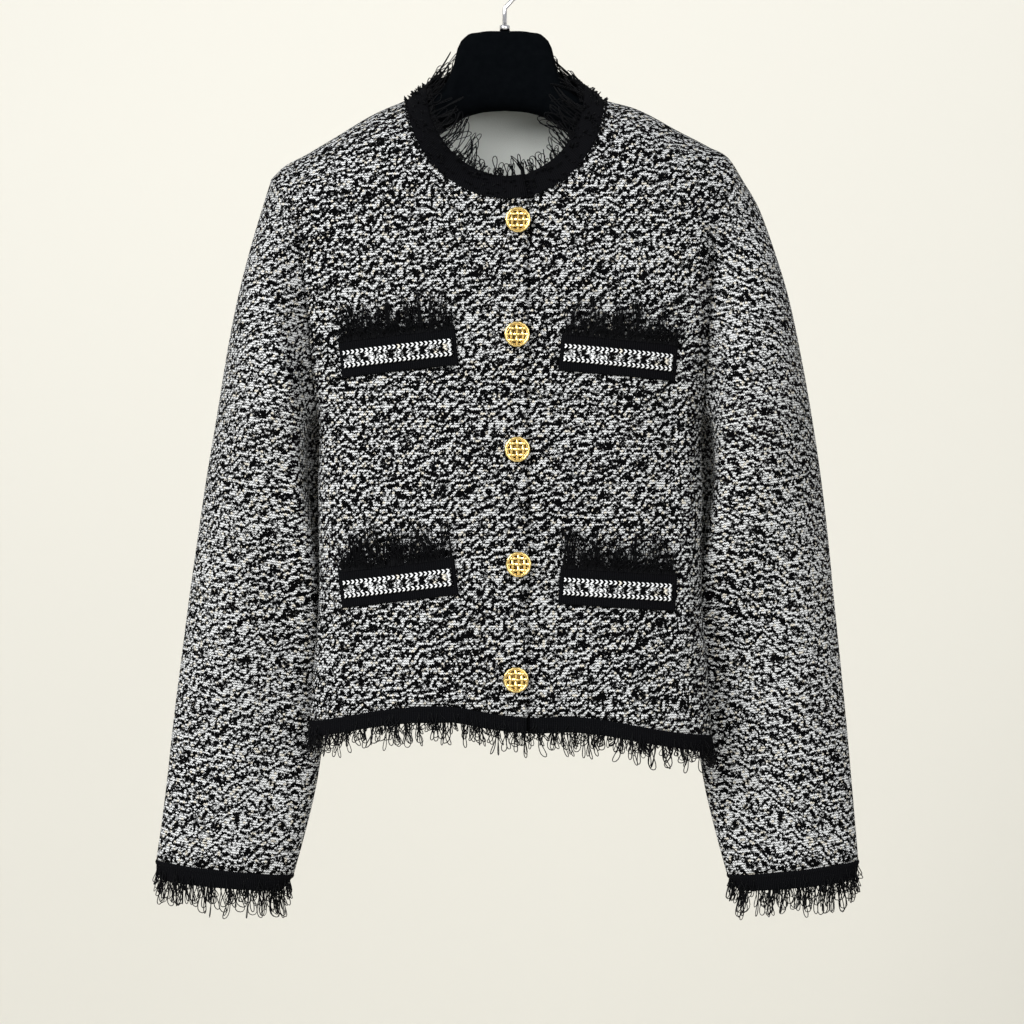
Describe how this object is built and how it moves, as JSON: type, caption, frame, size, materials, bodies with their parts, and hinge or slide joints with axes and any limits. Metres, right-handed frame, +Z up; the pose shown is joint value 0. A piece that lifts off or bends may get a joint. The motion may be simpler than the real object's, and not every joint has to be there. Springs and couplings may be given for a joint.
{
  "type": "cropped tweed jacket on a hanger",
  "caption": "Cropped marled knit jacket with black ribbed bands, looped yarn fringe, gold buttons and pocket welts, hung on a padded hanger.",
  "frame": {"origin": "the point by which the hanger's hook hangs, inside the top of its bend", "axes": "+Z up, the front of the jacket faces -Y, +X to the right of someone who looks at the front"},
  "size_m": [0.6225, 0.1357, 0.853],
  "materials": {
    "marled_knit": "matte",
    "black_yarn": "matte",
    "grey_lining": "satin",
    "gold_metal": "polished",
    "black_flock": "matte",
    "hook_steel": "polished"
  },
  "bodies": {
    "root": {"back": "marled_knit", "front_left": "marled_knit", "front_right": "marled_knit", "sleeve_left": "marled_knit", "sleeve_right": "marled_knit", "pocket_welt_upper_left": "marled_knit", "pocket_welt_upper_right": "marled_knit", "pocket_welt_lower_left": "marled_knit", "pocket_welt_lower_right": "marled_knit", "neck_band": "black_yarn", "hem_band": "black_yarn", "cuff_band_left": "black_yarn", "cuff_band_right": "black_yarn", "cuff_fringe_left": "black_yarn", "cuff_fringe_right": "black_yarn", "hem_fringe": "black_yarn", "neck_fringe": "black_yarn", "pocket_trim_upper_left": "black_yarn", "pocket_trim_upper_right": "black_yarn", "pocket_trim_lower_left": "black_yarn", "pocket_trim_lower_right": "black_yarn", "pocket_fringe_upper_left": "black_yarn", "pocket_fringe_upper_right": "black_yarn", "pocket_fringe_lower_left": "black_yarn", "pocket_fringe_lower_right": "black_yarn", "lining_back": "grey_lining", "button_1": "gold_metal", "button_2": "gold_metal", "button_3": "gold_metal", "button_4": "gold_metal", "button_5": "gold_metal", "hanger": "black_flock", "hook": "hook_steel"}
  },
  "joints": []
}
